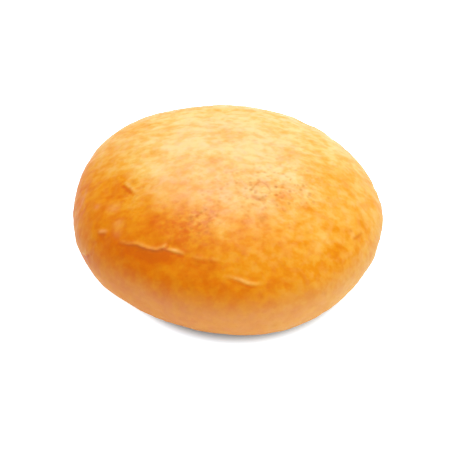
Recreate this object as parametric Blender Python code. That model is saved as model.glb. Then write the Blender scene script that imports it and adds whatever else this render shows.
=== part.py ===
"""A thick round flatbread: one baked piece with a domed crown, lying on its flat underside.

Metres, +Z up. +X is the loaf's long way, and the origin is the middle of its underside.
The half-section is two arcs that meet at the belly, where the side stands plumb. It is spun about Z,
and the round is then made the oval, slightly lobed and softly uneven loaf that dough bakes into.
"""

import math

import bmesh
import bpy
from mathutils import Vector, noise

# Driving dimensions
LENGTH = 0.130  # the long way, along X
WIDTH = 0.122  # the short way, along Y
HEIGHT = 0.049

# The half-section, from the crown over the belly to the rim of the underside
BELLY_HEIGHT = 0.40 * HEIGHT
UNDERSIDE_SHARE = 0.79  # the underside's radius as a share of the belly's
CROWN_ROUNDING = 2.1  # exponents of the crown's arc: 2 is an ellipse, more is fuller
SHOULDER_ROUNDING = 2.0
CROWN_STEPS = 18
FOOT_STEPS = 8
SEGMENTS = 80

# What the dough did as it rose: (lobes round the loaf, depth as a share of the radius, where one peaks)
LOBES = (
    (3, 0.003, math.radians(85)),
    (4, 0.005, math.radians(60)),
    (5, 0.009, math.radians(29)),
)
SWELL = 0.0009  # height of the soft rises and hollows of the crust
SWELL_SPACING = 0.030
SWELL_FADE = 0.35 * HEIGHT  # they fade out over this height, so that the underside stays flat

CRUST_COLOUR = (0.80, 0.40, 0.10, 1.0)
CRUST_ROUGHNESS = 0.55

WELD = 1e-6


def clear_scene():
    for old in list(bpy.data.objects):
        bpy.data.objects.remove(old)


def half_section():
    """Points (share of the radius, height) from the crown to the rim of the underside."""
    rise = HEIGHT - BELLY_HEIGHT
    points = []
    for step in range(CROWN_STEPS + 1):
        turn = math.pi / 2 * step / CROWN_STEPS
        points.append(
            (
                math.sin(turn) ** (2 / CROWN_ROUNDING),
                BELLY_HEIGHT + rise * max(math.cos(turn), 0.0) ** (2 / SHOULDER_ROUNDING),
            )
        )
    for step in range(1, FOOT_STEPS + 1):
        turn = math.pi / 2 * step / FOOT_STEPS
        tuck = UNDERSIDE_SHARE + (1 - UNDERSIDE_SHARE) * math.cos(turn)
        points.append((tuck, BELLY_HEIGHT * (1 - math.sin(turn))))
    points[-1] = (UNDERSIDE_SHARE, 0.0)
    return points


def spin_round(bm):
    """Spins the half-section, at a radius of 1, and closes the underside with one flat face."""
    chain = [bm.verts.new((radius, 0.0, height)) for radius, height in half_section()]
    edges = [bm.edges.new(pair) for pair in zip(chain, chain[1:])]
    bmesh.ops.spin(
        bm,
        geom=chain + edges,
        cent=(0, 0, 0),
        axis=(0, 0, 1),
        angle=math.tau,
        steps=SEGMENTS,
        use_merge=True,
    )
    bmesh.ops.remove_doubles(bm, verts=bm.verts, dist=WELD)
    bmesh.ops.holes_fill(bm, edges=bm.edges)


def radius_towards(angle):
    """The belly's radius in that direction: an ellipse with the loaf's lobes."""
    a, b = LENGTH / 2, WIDTH / 2
    oval = a * b / math.hypot(b * math.cos(angle), a * math.sin(angle))
    return oval * (1 + sum(depth * math.cos(n * (angle - peak)) for n, depth, peak in LOBES))


def make_oval(bm):
    for vert in bm.verts:
        radius = radius_towards(math.atan2(vert.co.y, vert.co.x))
        vert.co.x *= radius
        vert.co.y *= radius


def make_uneven(bm):
    """Soft rises and hollows over the crust, none at the underside."""
    bm.normal_update()
    moves = []
    for vert in bm.verts:
        share = min(max(vert.co.z / SWELL_FADE, 0.0), 1.0)
        height = SWELL * share * share * (3 - 2 * share)
        moves.append(vert.normal * height * noise.noise(vert.co / SWELL_SPACING))
    for vert, move in zip(bm.verts, moves):
        vert.co += move


def fit_to_size(bm):
    """Centres the loaf on the origin and brings it to exactly its length, width and height."""
    low = Vector(min(v.co[i] for v in bm.verts) for i in range(3))
    high = Vector(max(v.co[i] for v in bm.verts) for i in range(3))
    size = Vector((LENGTH, WIDTH, HEIGHT))
    for vert in bm.verts:
        for i in range(3):
            start = 0.0 if i == 2 else -size[i] / 2
            vert.co[i] = start + size[i] * (vert.co[i] - low[i]) / (high[i] - low[i])


def crust_material():
    material = bpy.data.materials.new("crust")
    material.use_nodes = True
    shader = material.node_tree.nodes["Principled BSDF"]
    shader.inputs["Base Color"].default_value = CRUST_COLOUR
    shader.inputs["Roughness"].default_value = CRUST_ROUGHNESS
    shader.inputs["Metallic"].default_value = 0.0
    return material


def make_flatbread():
    bm = bmesh.new()
    spin_round(bm)
    make_oval(bm)
    make_uneven(bm)
    fit_to_size(bm)
    bmesh.ops.recalc_face_normals(bm, faces=bm.faces)
    mesh = bpy.data.meshes.new("flatbread")
    bm.to_mesh(mesh)
    bm.free()
    mesh.shade_smooth()
    mesh.set_sharp_from_angle(angle=math.radians(40))
    mesh.materials.append(crust_material())
    loaf = bpy.data.objects.new("flatbread", mesh)
    bpy.context.scene.collection.objects.link(loaf)


clear_scene()
make_flatbread()
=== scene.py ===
"""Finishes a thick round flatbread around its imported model: its crust, its browning and a plain stage.

The file is laid out as an add-on. Its properties hold the sizes and colours that a user would change,
an operator makes each piece, and the panel lists them. Run as a script, it makes everything in order.

Places on the crust are seen from the loaf's core, as a bearing round the loaf (0 along +X, turning
towards +Y) and a rise above the belly, both in degrees.
"""

import math
from typing import NamedTuple

import bmesh
import bpy
import numpy as np
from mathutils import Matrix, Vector, noise
from mathutils.bvhtree import BVHTree


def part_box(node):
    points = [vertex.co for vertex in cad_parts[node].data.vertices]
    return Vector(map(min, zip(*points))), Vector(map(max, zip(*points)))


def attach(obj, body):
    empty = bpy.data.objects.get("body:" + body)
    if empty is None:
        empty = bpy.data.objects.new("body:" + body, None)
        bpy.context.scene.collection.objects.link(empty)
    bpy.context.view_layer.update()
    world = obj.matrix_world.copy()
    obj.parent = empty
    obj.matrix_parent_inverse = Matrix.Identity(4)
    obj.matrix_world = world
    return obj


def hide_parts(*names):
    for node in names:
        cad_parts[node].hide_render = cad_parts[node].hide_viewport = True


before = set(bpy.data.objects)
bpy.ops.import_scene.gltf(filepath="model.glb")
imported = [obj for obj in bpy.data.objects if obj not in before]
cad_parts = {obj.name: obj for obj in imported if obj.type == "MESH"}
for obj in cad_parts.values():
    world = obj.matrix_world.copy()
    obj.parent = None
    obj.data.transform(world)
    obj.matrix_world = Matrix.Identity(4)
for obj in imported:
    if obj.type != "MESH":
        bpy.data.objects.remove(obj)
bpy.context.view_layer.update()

bl_info = {
    "name": "Flatbread",
    "version": (1, 0, 0),
    "blender": (4, 5, 0),
    "location": "3D View > Sidebar > Flatbread",
    "description": "Makes a thick round flatbread with a wrinkled, mottled crust, and a stage to see it on",
    "category": "Object",
}

NODE = "flatbread"
BODY = "root"
WELD = 1e-6
MM = 0.001

LOAF_LOW, LOAF_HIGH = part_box(NODE)
BELLY_SHARE = 0.40  # where the loaf is widest, as a share of its height
CORE = Vector((0, 0, BELLY_SHARE * (LOAF_HIGH.z - LOAF_LOW.z)))


class Effect(NamedTuple):
    """What a line does to the crust on its two sides; its heights are shares of the lip height."""

    ridge: float  # height of the skin above the line
    groove: float  # depth of the narrow groove below it
    recess: float  # depth of the wide hollow below the groove
    width: float  # 1 for a ridge that fades in about a millimetre
    fade: float  # how much paler the ridge is: partly less baked skin, partly a painted highlight where it catches the light
    smudge_and_painted_sheen: float  # how dusty the ridge looks: partly dust, partly a painted highlight
    bake: float  # how much browner the groove is: partly deeper baking, partly painted shade under the ridge
    groove_scorch_and_painted_shade: float  # how dark the groove is drawn: partly scorch, partly painted shade under the ridge


# Each line's groove and recess are drawn browner and darker, partly as painted shade, and its ridge paler,
# partly as a painted highlight
LIP = Effect(
    ridge=1.0, groove=0.22, recess=0.30, width=1.2, fade=0.12, smudge_and_painted_sheen=0.08, bake=0.25, groove_scorch_and_painted_shade=0.20,
)
PALE_LIP = Effect(
    ridge=1.0, groove=0.18, recess=0.10, width=1.2, fade=0.30, smudge_and_painted_sheen=0.14, bake=0.15, groove_scorch_and_painted_shade=0.06,
)
MARK = Effect(
    ridge=0.6, groove=0.30, recess=0, width=1.3, fade=0.06, smudge_and_painted_sheen=0.16, bake=0.20, groove_scorch_and_painted_shade=0.25,
)
FOLD = Effect(
    ridge=0.6, groove=0.30, recess=0, width=1.5, fade=0.24, smudge_and_painted_sheen=0.04, bake=0.25, groove_scorch_and_painted_shade=0.10,
)
CREASE = Effect(
    ridge=0, groove=0.45, recess=0, width=1.3, fade=0, smudge_and_painted_sheen=0, bake=0.12, groove_scorch_and_painted_shade=0.30,
)
SLIT = Effect(
    ridge=0, groove=0.50, recess=0, width=2.2, fade=0, smudge_and_painted_sheen=0, bake=0.18, groove_scorch_and_painted_shade=0.36,
)

# The lines of the crust: what each does, and places along it with how strongly it shows there
LINES = (
    (LIP, (
        (-127, -4, 0), (-123.5, -3, 0.6), (-119, -1, 1.0), (-115, 3, 0.3), (-112, 6, 0),
    )),
    (LIP, (
        (-105, 13.3, 0), (-102, 14.1, 0.5), (-99, 14.8, 0.7), (-96, 16, 0.9), (-93.5, 16.2, 1.0),
        (-90.5, 16.4, 1.1), (-88, 16.8, 1.2), (-85.5, 17.4, 1.2), (-83.4, 19, 1.2), (-82, 20.5, 0),
    )),
    (PALE_LIP, (
        (-84.5, 18.2, 0), (-82.5, 18.3, 0.7), (-78.5, 18.6, 1.0), (-76, 18.6, 1.0),
        (-72.5, 18.4, 0),
    )),
    (LIP, (
        (-71.5, 18.2, 0), (-68, 18.1, 0.4), (-64, 18.1, 0.3), (-60, 18.3, 0.4), (-56, 17.9, 0),
    )),
    (PALE_LIP, (
        (-56.5, 13.4, 0), (-53, 13, 0.4), (-50, 12.2, 0.6), (-47, 11.1, 1.0), (-44.5, 10.6, 0.5),
        (-41, 10.3, 0),
    )),
    (MARK, (
        (-116, 11, 0), (-114.5, 11.8, 0.8), (-113, 12.8, 0.8), (-111, 13.6, 0),
    )),
    (FOLD, (
        (-132.5, 26.6, 0), (-130, 27.6, 0.9), (-126, 28.6, 1.0), (-122, 29.2, 0.9), (-118, 30, 0),
    )),
    (SLIT, (
        (-34.5, 46, 0), (-32.5, 45, 0.9), (-29, 43.1, 1.0), (-26, 41.3, 0.9), (-24, 40.2, 0),
    )),
    (CREASE, (
        (-33, 47.5, 0), (-30.5, 49.3, 0.8), (-24, 51.6, 1.0), (-17.5, 52.2, 1.0),
        (-14.2, 49.8, 1.0), (-15.5, 45.8, 0.9), (-17, 42.5, 0),
    )),
    (CREASE, (
        (1, 11, 0), (2.5, 10.7, 0.7), (5, 10.2, 0.8), (7, 9.9, 0.6), (8.5, 9.7, 0),
    )),
)

# Places where the loaf swells out of its round: bearing, rise, radius and height in millimetres
SWELLINGS = (
    (-169, 14, 14, 1.1), (-43, -10, 10, 0.6), (-16, -7, 10, 0.7), (78, 23, 14, 0.5),
    (147, 26, 9, 0.7), (180, 18, 12, 0.7),
)

# Patches that baked more (above 0) or less (below 0): bearing, rise, radius in millimetres and how much
PATCHES = (
    # baked more
    (-150, 50, 3, 0.14), (-128, 25, 4, 0.16), (-115, 52, 3.5, 0.18), (-104, 77, 3.5, 0.26),
    (-102, 44, 3, 0.08), (-96, 25, 4, 0.1), (-96, 29, 4, 0.12), (-93, 51, 3.5, 0.14),
    (-89, 22.5, 3, 0.1), (-89, 40, 3.5, 0.22), (-85, 33, 2.5, 0.14), (-82.5, 29, 2.0, 0.16),
    (-80, 37, 3, 0.2), (-80, 70, 3, 0.16), (-77, 27, 1.6, 0.12), (-76, 25, 6, 0.05),
    (-70, 44, 2.5, 0.14), (-67.5, 29.3, 2.0, 0.18), (-64, 37, 3.5, 0.14), (-60, 24.5, 2.2, 0.16),
    (-54.5, 22, 2.0, 0.16), (-50, 13.5, 1.5, 0.14), (-42, 31, 9, 0.04), (-38, 24, 4, 0.12),
    (-14, 24, 5, 0.12), (-12, 38.5, 3, 0.2), (-7.5, 12, 2.5, 0.16), (-5, 29, 4, 0.16),
    (-2, 36, 3, 0.16), (-1, 16, 2.5, 0.16), (8, 17, 10, 0.12), (26, 27, 11, 0.17),
    (30, 22, 5, 0.16), (40, 47, 4, 0.22), (116, 71, 3.5, 0.24), (124, 62, 4, 0.26),
    (135, 20, 10, 0.12), (137, 55, 4, 0.22), (170, 52, 3.5, 0.16), (177, 38, 5, 0.16),
    # baked less
    (-175, 63, 4, -0.14), (-168, 16, 12, -0.14), (-165, 44, 7, -0.12), (-160, 56, 6, -0.16),
    (-159, 70, 5, -0.14), (-148, 30, 8, -0.12), (-131, 41, 5, -0.12), (-120, 20, 2.5, -0.1),
    (-113, 26, 5, -0.12), (-110, 18, 2.5, -0.1), (-100, 60, 5, -0.12), (-98, 31, 2.5, -0.12),
    (-70, 52, 4, -0.1), (-58, 29, 5, -0.18), (-46, 17, 6, -0.07), (-45, 42, 4, -0.08),
    (-33, 48, 1.8, -0.36), (-21, 29, 3.5, -0.14), (3.3, 11.8, 1.2, -0.16), (5, 14.2, 1.3, -0.16),
    (8, 52, 7, -0.12), (12, 43, 4, -0.12), (28, 70, 5, -0.12), (65, 68, 6, -0.16),
    (94, 47, 5, -0.06), (152, 34, 7, -0.1), (155, 60, 5, -0.12),
)

# Smudges where a thin dusty veil lies over the crust: bearing, rise, radius in millimetres and how much
SMUDGES = (
    (-165, 22, 10, 0.1), (-127, 15.5, 1.5, 0.12), (-120, 20, 2.2, 0.14), (-114, 40, 5, 0.12),
    (-110, 18, 2.2, 0.12), (-107, 15.5, 1.8, 0.08), (-97, 40, 7, 0.08), (-62, 37, 8, 0.1),
    (-60, 50, 18, 0.1), (-32, 36, 8, 0.12), (0, 38, 8, 0.12),
)

# Small scorched spots: bearing, rise, radius in millimetres and how dark
SPOTS = (
    (-131, 6.7, 1.0, 0.35), (-130, 30.8, 0.9, 0.25), (-125, 26.8, 1.1, 0.2),
    (-77, 32.3, 1.1, 0.45), (-73, 0, 1.3, 0.2), (-38, -7, 1.3, 0.25), (-33.6, 32.7, 1.4, 0.35),
    (-20, 2, 0.9, 0.2), (-20, 38.7, 1.2, 0.25), (-9, 45, 0.9, 0.35), (-3, 43.6, 0.9, 0.4),
    (3.9, 13.2, 0.7, 0.35),
)

# Patches with many small pits: bearing, rise, radius in millimetres and how many, up to 1
PITTED_PATCHES = ((-2, 38, 13, 0.8), (-40, 50, 14, 0.5), (-73, 32, 10, 0.8), (-120, 28, 7, 0.4))


# ---------------------------------------------------------------- properties


class CrustShape(bpy.types.PropertyGroup):
    """The crust's relief"""

    mesh_size: bpy.props.FloatProperty(
        name="Mesh size",
        description="Side of the crust's faces before the fine ones along the wrinkles",
        default=0.00082,
        unit="LENGTH",
    )
    swell_height: bpy.props.FloatProperty(
        name="Swell height",
        description="Height of the crust's soft, wide unevenness",
        default=0.00030,
        unit="LENGTH",
    )
    swell_spacing: bpy.props.FloatProperty(
        name="Swell spacing",
        description="Distance from one soft rise of the crust to the next",
        default=0.018,
        unit="LENGTH",
    )
    peel_height: bpy.props.FloatProperty(
        name="Peel height",
        description="Height of the crust's small dimples and bumps",
        default=0.00010,
        unit="LENGTH",
    )
    peel_spacing: bpy.props.FloatProperty(
        name="Peel spacing",
        description="Distance from one small bump of the crust to the next",
        default=0.0035,
        unit="LENGTH",
    )
    lip_height: bpy.props.FloatProperty(
        name="Lip height",
        description="How far a wrinkle's lip of skin stands proud",
        default=0.00035,
        unit="LENGTH",
    )


class CrustColours(bpy.types.PropertyGroup):
    """The crust's colours, from the least baked to the most, and its dust and burnt spots; the pale veil's
    colour also paints the crown's sheen and the ridges' highlights, and the dark spots' colour the shade in
    the grooves and recesses
    """

    pale: bpy.props.FloatVectorProperty(
        name="Pale",
        description="Colour of the least baked crust, on the crown",
        default=(0.57, 0.43, 0.165),
        subtype="COLOR",
        min=0,
        max=1,
    )
    honey: bpy.props.FloatVectorProperty(
        name="Honey",
        description="Colour of the lightly baked crust",
        default=(0.56, 0.337, 0.078),
        subtype="COLOR",
        min=0,
        max=1,
    )
    golden: bpy.props.FloatVectorProperty(
        name="Golden",
        description="Colour of the evenly baked crust",
        default=(0.55, 0.244, 0.021),
        subtype="COLOR",
        min=0,
        max=1,
    )
    amber: bpy.props.FloatVectorProperty(
        name="Amber",
        description="Colour of the well baked crust, on the shoulder",
        default=(0.52, 0.180, 0.003),
        subtype="COLOR",
        min=0,
        max=1,
    )
    deep: bpy.props.FloatVectorProperty(
        name="Deep",
        description="Colour of the most baked crust, under the shoulder",
        default=(0.465, 0.108, 0.0),
        subtype="COLOR",
        min=0,
        max=1,
    )
    dust: bpy.props.FloatVectorProperty(
        name="Dust",
        description="Colour of the dull crust near the foot",
        default=(0.44, 0.23, 0.14),
        subtype="COLOR",
        min=0,
        max=1,
    )
    # Also paints the broad sheen on the crown and the highlights along the ridges
    smudge_and_painted_sheen: bpy.props.FloatVectorProperty(
        name="Smudge",
        description="Colour of the thin smudges over the shoulder",
        default=(0.60, 0.355, 0.24),
        subtype="COLOR",
        min=0,
        max=1,
    )
    sole: bpy.props.FloatVectorProperty(
        name="Sole",
        description="Colour of the browned underside",
        default=(0.30, 0.125, 0.03),
        subtype="COLOR",
        min=0,
        max=1,
    )
    # Also paints the shade in the grooves and recesses under the ridges
    scorched: bpy.props.FloatVectorProperty(
        name="Scorched",
        description="Colour of the small pits and scorched spots",
        default=(0.32, 0.09, 0.008),
        subtype="COLOR",
        min=0,
        max=1,
    )


class StageSettings(bpy.types.PropertyGroup):
    """The camera's place and its lens"""

    azimuth: bpy.props.FloatProperty(
        name="Azimuth",
        description="How far round the loaf the camera stands from its front",
        default=math.radians(35),
        subtype="ANGLE",
    )
    elevation: bpy.props.FloatProperty(
        name="Elevation",
        description="The camera's height above the table as an angle",
        default=math.radians(40),
        subtype="ANGLE",
    )
    distance: bpy.props.FloatProperty(
        name="Distance",
        description="From the camera to the loaf",
        default=0.60,
        unit="LENGTH",
    )
    focal_length: bpy.props.FloatProperty(
        name="Focal length",
        description="The camera's lens, in millimetres",
        default=116.1,
        min=10,
    )


# ---------------------------------------------------------------- shader helper


class Wire:
    """A node's output, used in sums like a number. Made without one, it only makes nodes."""

    def __init__(self, tree, socket=None):
        self.tree = tree
        self.socket = socket

    def node(self, kind, output=0, settings=None, inputs=None):
        """A new node's output, by name or number, after its settings and its sockets are set."""
        new = self.tree.nodes.new(kind)
        for name, value in (settings or {}).items():
            if name == "stops":
                set_stops(new.color_ramp, value)
            else:
                setattr(new, name, value)
        for key, value in (inputs or {}).items():
            if isinstance(value, Wire):
                self.tree.links.new(value.socket, new.inputs[key])
            else:
                new.inputs[key].default_value = value
        return Wire(self.tree, new.outputs[output])

    def sum(self, operation, *values):
        return self.node("ShaderNodeMath", settings={"operation": operation}, inputs=dict(enumerate(values)))

    def __add__(self, other):
        return self.sum("ADD", self, other)

    __radd__ = __add__

    def __sub__(self, other):
        return self.sum("SUBTRACT", self, other)

    def __rsub__(self, other):
        return self.sum("SUBTRACT", other, self)

    def __mul__(self, other):
        return self.sum("MULTIPLY", self, other)

    __rmul__ = __mul__

    def between(self, low, high):
        """0 below low, 1 above high and an even slope between; low may be the greater one."""
        return self.node(
            "ShaderNodeMapRange",
            settings={"interpolation_type": "SMOOTHSTEP"},
            inputs={"Value": self, "From Min": low, "From Max": high},
        )

    def mixed(self, first, second):
        """The first colour where this is 0 and the second where it is 1."""
        return self.node("ShaderNodeMix", 2, {"data_type": "RGBA"}, {0: self, 6: first, 7: second})


def set_stops(ramp, stops):
    """Gives a colour ramp its (place, colour) stops."""
    while len(ramp.elements) < len(stops):
        ramp.elements.new(1)
    for element, (place, colour) in zip(ramp.elements, stops):
        element.position = place
        element.color = (*colour, 1)


# ---------------------------------------------------------------- the loaf's skin

SMOOTHING = 0.5  # how far a point moves towards its neighbours' middle in one round
SMOOTHING_ROUNDS = 12


def copy_of_node(name):
    """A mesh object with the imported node's shape, its loose triangles joined."""
    bm = bmesh.new()
    bm.from_mesh(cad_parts[name].data)
    bmesh.ops.remove_doubles(bm, verts=bm.verts, dist=WELD)
    mesh = bpy.data.meshes.new(name + "_copy")
    bm.to_mesh(mesh)
    bm.free()
    copy = bpy.data.objects.new(name + "_copy", mesh)
    bpy.context.scene.collection.objects.link(copy)
    return copy


def finished(obj):
    """The object's mesh with its modifiers applied; the object itself is removed."""
    bpy.context.view_layer.update()
    graph = bpy.context.evaluated_depsgraph_get()
    mesh = bpy.data.meshes.new_from_object(obj.evaluated_get(graph))
    bpy.data.objects.remove(obj)
    return mesh


def even_skin(mesh_size):
    """The loaf as one even skin of small four-sided faces."""
    copy = copy_of_node(NODE)
    remesh = copy.modifiers.new("Remesh", "REMESH")
    remesh.mode = "VOXEL"
    remesh.voxel_size = mesh_size
    remesh.use_smooth_shade = True
    smooth = copy.modifiers.new("Smooth", "SMOOTH")
    smooth.factor = SMOOTHING
    smooth.iterations = SMOOTHING_ROUNDS
    return finished(copy)


# ---------------------------------------------------------------- lines on the crust

FINE_REACHES = (3.0 * MM, 1.6 * MM)  # faces this near a line are cut into four, once for each reach
LINE_REACH = 8 * MM  # a line changes nothing farther off
LINE_END = 0.8  # how soon it dies away past its ends, in millimetres

# The section across a line. Places are above it where positive, and in widths of the line
RIDGE_STEP = (-0.5, 0.1)  # from the foot to the top of its steep side
RIDGE_SLOPE = 1.1  # how far its other side falls softly
GROOVE_MIDDLE = -0.75  # under a ridge; without one, the groove is on the line itself
GROOVE_WIDTH = 0.5
RECESS = (-2.4, 2.0)  # middle and width
FADED_AND_HIGHLIT = (0.5, 0.7)  # middle and width of the strip that is paler: less baked, and a painted highlight
DUSTED_AND_HIGHLIT = (0.4, 0.65)  # middle and width of the strip with a pale veil: dust, and a painted highlight
# How much browner and darker the recess is drawn: partly deeper baking, partly painted shade
RECESS_BAKE_AND_PAINTED_SHADE = 0.6
RECESS_SCORCH_AND_PAINTED_SHADE = 0.2


def curve_through(points, steps=12):
    """Points of a smooth curve through the given ones (Catmull and Rom's)."""
    points = np.array(points, float)
    before = np.vstack((2 * points[0] - points[1], points, 2 * points[-1] - points[-2]))
    spans = []
    for a, b, c, d in zip(before, before[1:], before[2:], before[3:]):
        for t in np.arange(steps) / steps:
            spans.append(b + 0.5 * t * (c - a + t * (2 * a - 5 * b + 4 * c - d + t * (3 * (b - c) + d - a))))
    spans.append(points[-1])
    return np.array(spans)


class Line:
    """A line lying on the crust: its points, its way along, and how strongly it shows at each."""

    def __init__(self, tree, places):
        curve = curve_through(places)
        self.points = np.array([on_crust(tree, bearing, rise) for bearing, rise, _ in curve])
        self.strength = np.clip(curve[:, 2], 0, None)
        way = np.gradient(self.points, axis=0)
        self.way = way / np.linalg.norm(way, axis=1)[:, None]

    def near(self, places, reach):
        """The indices of the places within reach of the line, and of the line's point nearest to each."""
        low = self.points.min(axis=0) - reach
        high = self.points.max(axis=0) + reach
        inside = np.flatnonzero(((places > low) & (places < high)).all(axis=1))
        gaps = np.linalg.norm(places[inside, None] - self.points[None], axis=2)
        nearest = gaps.argmin(axis=1)
        close = gaps.min(axis=1) < reach
        return inside[close], nearest[close]


def on_crust(tree, bearing, rise):
    """The crust's point that is seen from the core at a bearing and a rise, in degrees."""
    bearing = math.radians(bearing)
    rise = math.radians(rise)
    towards = Vector((math.cos(bearing) * math.cos(rise), math.sin(bearing) * math.cos(rise), math.sin(rise)))
    point = tree.ray_cast(CORE, towards)[0]
    if point is None:
        raise RuntimeError("The crust has no point at bearing %s, rise %s" % (bearing, rise))
    return point


def places_of(mesh):
    """Each vertex's place, one to a row."""
    places = np.empty(3 * len(mesh.vertices), np.float32)
    mesh.vertices.foreach_get("co", places)
    return places.reshape(-1, 3).astype(float)


def normals_of(mesh):
    """Each vertex's outward direction, one to a row."""
    normals = np.empty(3 * len(mesh.vertices), np.float32)
    mesh.vertex_normals.foreach_get("vector", normals)
    return normals.reshape(-1, 3).astype(float)


def fine_faces(mesh, lines, reach):
    """Cuts the faces within reach of a line into four."""
    places = places_of(mesh)
    wanted = set()
    for line in lines:
        wanted.update(line.near(places, reach)[0].tolist())
    bm = bmesh.new()
    bm.from_mesh(mesh)
    bm.verts.ensure_lookup_table()
    faces = {face for index in wanted for face in bm.verts[index].link_faces}
    edges = list({edge for face in faces for edge in face.edges})
    edges.sort(key=lambda edge: edge.index)
    bmesh.ops.subdivide_edges(bm, edges=edges, cuts=1, use_grid_fill=True, smooth=1.0)
    bm.to_mesh(mesh)
    bm.free()


def bell(values, middle, width):
    """1 at the middle, falling softly to both sides."""
    return np.exp(-(((values - middle) / width) ** 2))


def waves(places, spacing, seed):
    """Soft uneven waves from about -1 to 1, one rise to each spacing."""
    shift = Vector((seed, 2 * seed, 3 * seed))
    return np.array([2 * noise.noise(Vector(place) / spacing + shift) for place in places])


def rippled(places, spacing, seed, finer_seed):
    """Waves with smaller ones on them, half as high and half as far apart."""
    return waves(places, spacing, seed) + 0.5 * waves(places, 0.5 * spacing, finer_seed)


def rising(values, low, high):
    """0 below low, 1 above high and a soft step between."""
    share = np.clip((values - low) / (high - low), 0, 1)
    return share * share * (3 - 2 * share)


def line_marks(places, normals, line, effect):
    """The indices of the places near a line, with what it does to each: its lift in shares of the lip
    height, and how much browner, dustier and darker it is drawn there. The browner and darker groove and
    recess are partly painted shade, the paler ridge partly a painted highlight."""
    found, nearest = line.near(places, LINE_REACH)
    offset = places[found] - line.points[nearest]
    way = line.way[nearest]
    upward = np.cross(normals[found], way)
    upward *= np.sign(upward[:, 2:])
    above = (offset * upward).sum(axis=1) / (effect.width * MM)
    past_end = (offset * way).sum(axis=1) / MM
    strength = line.strength[nearest] * bell(past_end, 0, LINE_END)
    ridge = strength * bell(np.clip(above, 0, None), 0, RIDGE_SLOPE) * rising(above, *RIDGE_STEP)
    groove = strength * bell(above, GROOVE_MIDDLE if effect.ridge else 0, GROOVE_WIDTH)
    recess = strength * bell(above, *RECESS)
    lift = effect.ridge * ridge - effect.groove * groove - effect.recess * recess
    # Painted shade: the groove and recess are drawn browner and darker. Painted highlight: the ridge is drawn
    # paler and dustier
    browning = effect.bake * groove + RECESS_BAKE_AND_PAINTED_SHADE * effect.recess * recess
    browning -= effect.fade * strength * bell(above, *FADED_AND_HIGHLIT)
    smudge_and_painted_highlight = effect.smudge_and_painted_sheen * strength * bell(above, *DUSTED_AND_HIGHLIT)
    scorch_and_painted_shade = effect.groove_scorch_and_painted_shade * groove + RECESS_SCORCH_AND_PAINTED_SHADE * effect.recess * recess
    return found, lift, browning, smudge_and_painted_highlight, scorch_and_painted_shade


def patches_on(places, tree, patches):
    """The sum of soft round patches, given as bearing, rise, radius in millimetres and amount."""
    total = np.zeros(len(places))
    for bearing, rise, radius, amount in patches:
        gap = np.linalg.norm(places - np.array(on_crust(tree, bearing, rise)), axis=1)
        total += amount * bell(gap, 0, radius * MM)
    return total


# ---------------------------------------------------------------- relief, browning and painted light

# How deeply the crust is baked by its rise above the belly, from 0 for pale to 1 for deep, on the darkest
# side
# # and on the opposite one; then the bearing of the darkest side. That side is partly baked more and partly
# # painted shade, on the side that the light reaches least
DEEP_BAKE_AND_PAINTED_SHADE = (
    (-24, 0.78), (-8, 0.86), (4, 0.94), (10, 0.99), (16, 0.94), (28, 0.84), (34, 0.68), (46, 0.45),
    (64, 0.38), (76, 0.34), (84, 0.24),
)
PALE_BAKE = ((-24, 0.30), (-8, 0.32), (4, 0.50), (10, 0.50), (16, 0.34), (24, 0.20), (34, 0.16), (84, 0.16))
DEEP_SIDE_WITH_PAINTED_SHADE = ((-10, -86), (10, -97), (28, -90), (42, -64))
DEEP_SIDE_WITH_PAINTED_SHADE_NARROWING = 1.4  # 1 spreads its effect evenly round the loaf, more keeps it to that side
FOOT_RISES = (-3, 9)  # the foot is dull below the first and clear above the second
FOOT_SIDE = -30  # the bearing where it is dullest
FOOT_DULLNESS = 0.8
FOOT_UNEVENNESS = 0.3  # how much duller it is on that side, and clearer on the other
CROWN_PAINTED_SHEEN = 0.20  # how strongly the crown's broad highlight is painted on as a pale veil
CROWN_PAINTED_SHEEN_RISES = (28, 55)  # where the painted sheen starts and where it is whole
LEAST_PITTED = 0.2  # away from the pitted patches
RESTING_BAND = 4 * MM  # the relief grows from nothing to whole over this height above the table
UNDERSIDE_TURN = (0.75, 0.97)  # how far down the crust faces where the sole starts and where it is whole


def seen_from_core(places):
    """Each place's bearing and rise, in degrees."""
    off = places - np.array(CORE)
    bearing = np.degrees(np.arctan2(off[:, 1], off[:, 0]))
    rise = np.degrees(np.arctan2(off[:, 2], np.hypot(off[:, 0], off[:, 1])))
    return bearing, rise


def browning_and_painted_shade_of(places):
    """How deeply the crust is baked at each place, before its patches and lines; its darkest side is partly
    painted shade.
    """
    bearing, rise = seen_from_core(places)
    from_deep_painted_shade_side = np.radians(bearing - np.interp(rise, *zip(*DEEP_SIDE_WITH_PAINTED_SHADE)))
    deep_and_painted_shade_share = (0.5 + 0.5 * np.cos(from_deep_painted_shade_side)) ** DEEP_SIDE_WITH_PAINTED_SHADE_NARROWING
    deep = np.interp(rise, *zip(*DEEP_BAKE_AND_PAINTED_SHADE))
    pale = np.interp(rise, *zip(*PALE_BAKE))
    return pale + deep_and_painted_shade_share * (deep - pale)


def set_attribute(mesh, name, values):
    """Gives each vertex a number that the material can read."""
    mesh.attributes.new(name, "FLOAT", "POINT").data.foreach_set("value", values.astype(np.float32))


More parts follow.
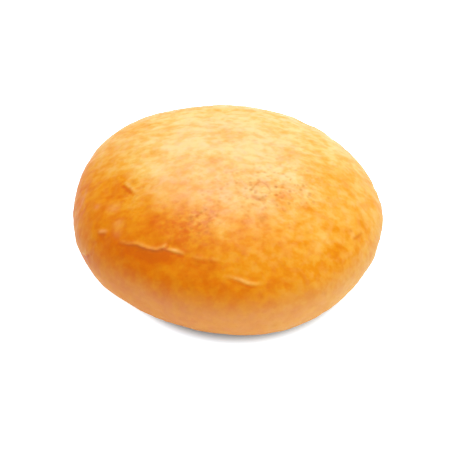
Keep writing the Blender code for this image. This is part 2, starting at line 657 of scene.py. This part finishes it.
def shape_loaf(shape):
    """The loaf's mesh with its relief, and with what its material needs to know as attributes."""
    mesh = even_skin(shape.mesh_size)
    skin = bmesh.new()
    skin.from_mesh(mesh)
    tree = BVHTree.FromBMesh(skin)
    skin.free()
    lines = [Line(tree, along) for _, along in LINES]
    for reach in FINE_REACHES:
        fine_faces(mesh, lines, reach)
    places = places_of(mesh)
    normals = normals_of(mesh)
    bearing, rise = seen_from_core(places)
    dullness = FOOT_DULLNESS + FOOT_UNEVENNESS * np.cos(np.radians(bearing - FOOT_SIDE))
    foot = (1 - rising(rise, *FOOT_RISES)) * dullness
    browning = browning_and_painted_shade_of(places) + patches_on(places, tree, PATCHES)
    # The pale veil holds the dusty smudges and the crown's painted sheen
    smudged = patches_on(places, tree, SMUDGES) + CROWN_PAINTED_SHEEN * rising(rise, *CROWN_PAINTED_SHEEN_RISES)
    scorched = patches_on(places, tree, SPOTS)
    swells = rippled(places, shape.swell_spacing, 1.7, 4.1)
    peel = rippled(places, shape.peel_spacing, 8.3, 9.9)
    lift = shape.swell_height * swells + shape.peel_height * peel + MM * patches_on(places, tree, SWELLINGS)
    for line, (effect, _) in zip(lines, LINES):
        found, more_lift, more_baked_and_painted_light, more_smudge_and_painted_highlight, more_scorch_and_painted_shade = line_marks(places, normals, line, effect)
        lift[found] += shape.lip_height * more_lift
        browning[found] += more_baked_and_painted_light
        smudged[found] += more_smudge_and_painted_highlight
        scorched[found] += more_scorch_and_painted_shade
    resting = np.clip(places[:, 2] / RESTING_BAND, 0, 1)
    lifted = places + normals * (lift * resting)[:, None]
    mesh.vertices.foreach_set("co", lifted.astype(np.float32).ravel())
    mesh.update()
    set_attribute(mesh, "browning", browning)
    set_attribute(mesh, "smudged", smudged)
    set_attribute(mesh, "scorched", scorched)
    set_attribute(mesh, "pitted", LEAST_PITTED + patches_on(places, tree, PITTED_PATCHES))
    set_attribute(mesh, "foot", foot)
    set_attribute(mesh, "underside", rising(-normals[:, 2], *UNDERSIDE_TURN))
    return mesh


# ---------------------------------------------------------------- the crust's material

STREAK_TURN = math.radians(35)  # the way the blotches are drawn out, from +X towards +Y
STREAK_STRETCH = (1.3, 1, 1.5)  # how far along that way, across it and upwards

# How far apart the patterns of the crust lie
BLOTCH = 8 * MM
PATCH = 3.2 * MM
FRECKLE = 1.9 * MM
GRAIN = 1.0 * MM
DUST = 3.4 * MM
PIT = 2.4 * MM
PIT_CLUSTER = 4 * MM
CRUMPLE = 1.4 * MM

BUMP_HEIGHT = 0.15 * MM
DARKEST = (0.94, 0.76, 0.76)  # the most baked flecks, as shares of the deep colour
SUBSURFACE_RADIUS = (3 * MM, 1.2 * MM, 0.5 * MM)


def crust_material(colours):
    """Baked dough: blotches and flecks on the browned tone, fine grain, small pits and a soft shine. That
    tone is partly painted shade in the grooves and on the darkest side, and a pale veil paints highlights on
    the ridges and a sheen on the crown.
    """
    material = bpy.data.materials.new("crust")
    material.use_nodes = True
    tree = material.node_tree
    tree.nodes.clear()
    start = Wire(tree)
    place = start.node("ShaderNodeTexCoord", "Object")
    stretching = {"Vector": place, "Rotation": (0, 0, STREAK_TURN), "Scale": STREAK_STRETCH}
    streaked = start.node("ShaderNodeMapping", settings={"vector_type": "TEXTURE"}, inputs=stretching)

    def attribute(name):
        return start.node("ShaderNodeAttribute", "Fac", {"attribute_name": name})

    def clouds(spacing, detail=2.0, roughness=0.5, where=place):
        sockets = {"Vector": where, "Scale": 1 / spacing, "Detail": detail, "Roughness": roughness}
        return start.node("ShaderNodeTexNoise", "Fac", inputs=sockets)

    foot = attribute("foot")
    underside = attribute("underside")
    # The browning is partly painted shade, in the grooves and on the darkest side, and partly painted
    # highlight on the ridges
    browning = attribute("browning")
    pitted = attribute("pitted")
    blotches = clouds(BLOTCH, where=streaked)
    patches = clouds(PATCH, where=streaked)
    freckles = clouds(FRECKLE, where=streaked)
    grain = clouds(GRAIN, roughness=0.6)
    dust = clouds(DUST)
    dots = start.node("ShaderNodeTexVoronoi", "Distance", inputs={"Vector": place, "Scale": 1 / PIT})
    pits = pitted * dots.between(0.50, 0.05) * clouds(PIT_CLUSTER).between(0.36, 0.52)

    mottling = 0.58 * (blotches - 0.5) + 0.27 * (patches.between(0.32, 0.68) - 0.5)
    mottling = (1.35 - 0.98 * browning) * (1 - 0.4 * foot) * mottling
    bake = browning + mottling + 0.22 * pitted * (freckles.between(0.35, 0.65) - 0.5) + 0.07 * (grain - 0.5)
    darkest = [share * part for share, part in zip(DARKEST, colours.deep)]
    stops = (
        (0.0, colours.pale),
        (0.27, colours.honey),
        (0.54, colours.golden),
        (0.70, colours.amber),
        (0.90, colours.deep),
        (1.0, darkest),
    )
    baked = start.node("ShaderNodeValToRGB", "Color", {"stops": stops}, {"Fac": 0.9 * bake})
    dusty = (0.27 * foot * (0.75 + 0.5 * patches)).mixed(baked, (*colours.dust, 1))
    flecks = 0.13 * browning.between(1.0, 0.30) * dust.between(0.44, 0.68)
    # The pale veil: dust, the crown's painted sheen and the ridges' painted highlights
    smudge_and_painted_sheen = attribute("smudged") * (0.4 + 1.2 * dust) + flecks
    smudged = smudge_and_painted_sheen.mixed(dusty, (*colours.smudge_and_painted_sheen, 1))
    # Drawn darker: the burnt spots, the pits, and the painted shade in the grooves and recesses
    scorch_and_painted_shade = attribute("scorched") + 0.48 * pits
    top = scorch_and_painted_shade.mixed(smudged, (*colours.scorched, 1))
    browned = 0.50 + 0.60 * (blotches - 0.5) + 0.40 * (grain - 0.5)
    sole = browned.mixed((*colours.golden, 1), (*colours.sole, 1))
    crust = underside.mixed(top, sole)

    roughness = 0.44 + 0.18 * (blotches - 0.5) + 0.15 * foot + 0.15 * (grain - 0.5) + 0.2 * underside
    height = 0.5 * clouds(CRUMPLE, 3, 0.6) + 0.25 * grain - 0.8 * pits
    bumps = {"Strength": 0.5, "Distance": BUMP_HEIGHT, "Height": height}
    relief = start.node("ShaderNodeBump", "Normal", inputs=bumps)
    shader = start.node(
        "ShaderNodeBsdfPrincipled",
        "BSDF",
        inputs={
            "Base Color": crust,
            "Roughness": roughness,
            "Normal": relief,
            "IOR": 1.25,
            "Specular IOR Level": 0.15,
            "Subsurface Weight": 0.1,
            "Subsurface Radius": SUBSURFACE_RADIUS,
            "Subsurface Scale": 1.0,
        },
    )
    tree.links.new(shader.socket, tree.nodes.new("ShaderNodeOutputMaterial").inputs["Surface"])
    return material


class FLATBREAD_OT_loaf(bpy.types.Operator):
    """Make the loaf, with its relief, its browned crust and its painted shade and highlights"""

    bl_idname = "flatbread.loaf"
    bl_label = "Loaf"

    def execute(self, context):
        mesh = shape_loaf(context.scene.flatbread_shape)
        mesh.name = "loaf"
        mesh.materials.clear()
        mesh.materials.append(crust_material(context.scene.flatbread_colours))
        loaf = bpy.data.objects.new("loaf", mesh)
        context.scene.collection.objects.link(loaf)
        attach(loaf, BODY)
        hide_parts(NODE)
        return {"FINISHED"}


# ---------------------------------------------------------------- the stage

SURROUND_LIGHT = 0.8  # how strongly the surround lights the loaf
PAINTED_SHADOW_RADIUS = 50.5 * MM  # a painted shadow: the round patch of floor that has no glow of its own
PAINTED_SHADOW_SHIFT = 12.5 * MM  # how far it lies from the loaf's middle
PAINTED_SHADOW_TURN = math.radians(19)  # which way it lies, from the camera's azimuth
PAINTED_SHADOW_FADE = 8 * MM
FLOOR_RADIUS = 6
FLOOR_SIDES = 96
FLOOR_COLOUR = (0.69, 0.82, 0.94, 1)
GLOW_COLOUR = (0.74, 0.82, 0.88, 1)
# The dim glow of the painted shadow patch
PAINTED_SHADOW_COLOUR = (0.04, 0.05, 0.06, 1)
SIGHT_HEIGHT = 22 * MM  # the camera is set up from a place this high, over the loaf's middle
CAMERA_DROP = 8.4 * MM  # how far the camera stands below its line to that place
CAMERA_SHIFT = 0.4 * MM  # and to the left of it


def direction_of(azimuth, elevation):
    """The unit vector from the loaf towards a place that far round it and that far up."""
    return Vector(
        (
            math.sin(azimuth) * math.cos(elevation),
            -math.cos(azimuth) * math.cos(elevation),
            math.sin(elevation),
        )
    )


def aim(obj, towards):
    """Turns a camera or a light to look that way."""
    obj.rotation_mode = "QUATERNION"
    obj.rotation_quaternion = towards.to_track_quat("-Z", "Y")


def add_camera(stage):
    data = bpy.data.cameras.new("camera")
    data.lens = stage.focal_length
    camera = bpy.data.objects.new("camera", data)
    bpy.context.scene.collection.objects.link(camera)
    back = direction_of(stage.azimuth, stage.elevation)
    up = Vector((0, 0, 1))
    up = (up - up.dot(back) * back).normalized()
    right = up.cross(back)
    middle = Vector((0, 0, SIGHT_HEIGHT))
    camera.location = middle + back * stage.distance - up * CAMERA_DROP - right * CAMERA_SHIFT
    aim(camera, -back)
    bpy.context.scene.camera = camera


def add_area_light(name, azimuth, elevation, distance, size, power):
    """A round white light that faces the loaf from that far round it and that far up."""
    data = bpy.data.lights.new(name, "AREA")
    data.shape = "DISK"
    data.size = size
    data.energy = power
    light = bpy.data.objects.new(name, data)
    bpy.context.scene.collection.objects.link(light)
    towards = direction_of(azimuth, elevation)
    light.location = towards * distance
    aim(light, -towards)


def add_world():
    """An even white surround, a little brighter to look at than it lights the loaf."""
    world = bpy.data.worlds.new("studio")
    world.use_nodes = True
    tree = world.node_tree
    back = tree.nodes["Background"]
    back.inputs["Color"].default_value = (1, 1, 1, 1)
    seen = Wire(tree).node("ShaderNodeLightPath", "Is Camera Ray")
    strength = SURROUND_LIGHT + (1 - SURROUND_LIGHT) * seen
    tree.links.new(strength.socket, back.inputs["Strength"])
    bpy.context.scene.world = world


def floor_material(painted_shadow_side):
    """A white light table that glows evenly, with its contact shadow painted: the glow is masked under the
    loaf and in its shade on the camera's side.
    """
    material = bpy.data.materials.new("floor")
    material.use_nodes = True
    tree = material.node_tree
    start = Wire(tree)
    place = start.node("ShaderNodeTexCoord", "Object")
    ends = {0: place, 1: PAINTED_SHADOW_SHIFT * painted_shadow_side}
    from_middle = start.node("ShaderNodeVectorMath", "Value", {"operation": "DISTANCE"}, ends)
    glow = from_middle.between(PAINTED_SHADOW_RADIUS - PAINTED_SHADOW_FADE, PAINTED_SHADOW_RADIUS)
    shader = tree.nodes["Principled BSDF"]
    shader.inputs["Base Color"].default_value = FLOOR_COLOUR
    shader.inputs["Roughness"].default_value = 0.9
    shader.inputs["Specular IOR Level"].default_value = 0.1
    shader.inputs["Emission Strength"].default_value = 1
    # Painted shadow: the dim colour inside the patch, the even glow outside it
    tree.links.new(glow.mixed(PAINTED_SHADOW_COLOUR, GLOW_COLOUR).socket, shader.inputs["Emission Color"])
    return material


def add_floor(painted_shadow_side):
    """A wide round floor at the height that the loaf rests on."""
    bm = bmesh.new()
    bmesh.ops.create_circle(bm, cap_ends=True, radius=FLOOR_RADIUS, segments=FLOOR_SIDES)
    mesh = bpy.data.meshes.new("floor")
    bm.to_mesh(mesh)
    bm.free()
    mesh.materials.append(floor_material(painted_shadow_side))
    floor = bpy.data.objects.new("floor", mesh)
    bpy.context.scene.collection.objects.link(floor)


class FLATBREAD_OT_stage(bpy.types.Operator):
    """Make the floor, the lights and the camera"""

    bl_idname = "flatbread.stage"
    bl_label = "Stage"

    def execute(self, context):
        stage = context.scene.flatbread_stage
        context.scene.view_settings.view_transform = "Standard"
        add_world()
        # The floor's painted shadow lies out on the camera's side
        add_floor(direction_of(stage.azimuth + PAINTED_SHADOW_TURN, 0))
        add_camera(stage)
        behind = stage.azimuth + math.radians(160)
        beside = stage.azimuth + math.radians(40)
        add_area_light("key", behind, math.radians(80), distance=1.2, size=1.0, power=16)
        add_area_light("fill", beside, math.radians(18), distance=1.2, size=0.8, power=3.6)
        return {"FINISHED"}


# ---------------------------------------------------------------- the add-on


class FLATBREAD_PT_tools(bpy.types.Panel):
    """Lists the operators with the sizes and colours that they use"""

    bl_idname = "FLATBREAD_PT_tools"
    bl_label = "Flatbread"
    bl_space_type = "VIEW_3D"
    bl_region_type = "UI"
    bl_category = "Flatbread"

    def draw(self, context):
        for name, group in GROUPS.items():
            values = getattr(context.scene, name)
            for setting in group.__annotations__:
                self.layout.prop(values, setting)
        for operator in OPERATORS:
            self.layout.operator(operator.bl_idname)


OPERATORS = (FLATBREAD_OT_loaf, FLATBREAD_OT_stage)
GROUPS = {
    "flatbread_shape": CrustShape,
    "flatbread_colours": CrustColours,
    "flatbread_stage": StageSettings,
}


def register():
    for group in GROUPS.values():
        bpy.utils.register_class(group)
    for name, group in GROUPS.items():
        setattr(bpy.types.Scene, name, bpy.props.PointerProperty(type=group))
    for operator in OPERATORS:
        bpy.utils.register_class(operator)
    bpy.utils.register_class(FLATBREAD_PT_tools)


def unregister():
    bpy.utils.unregister_class(FLATBREAD_PT_tools)
    for operator in reversed(OPERATORS):
        bpy.utils.unregister_class(operator)
    for name, group in GROUPS.items():
        delattr(bpy.types.Scene, name)
        bpy.utils.unregister_class(group)


def main():
    register()
    bpy.ops.flatbread.loaf()
    bpy.ops.flatbread.stage()


if __name__ == "__main__":
    main()
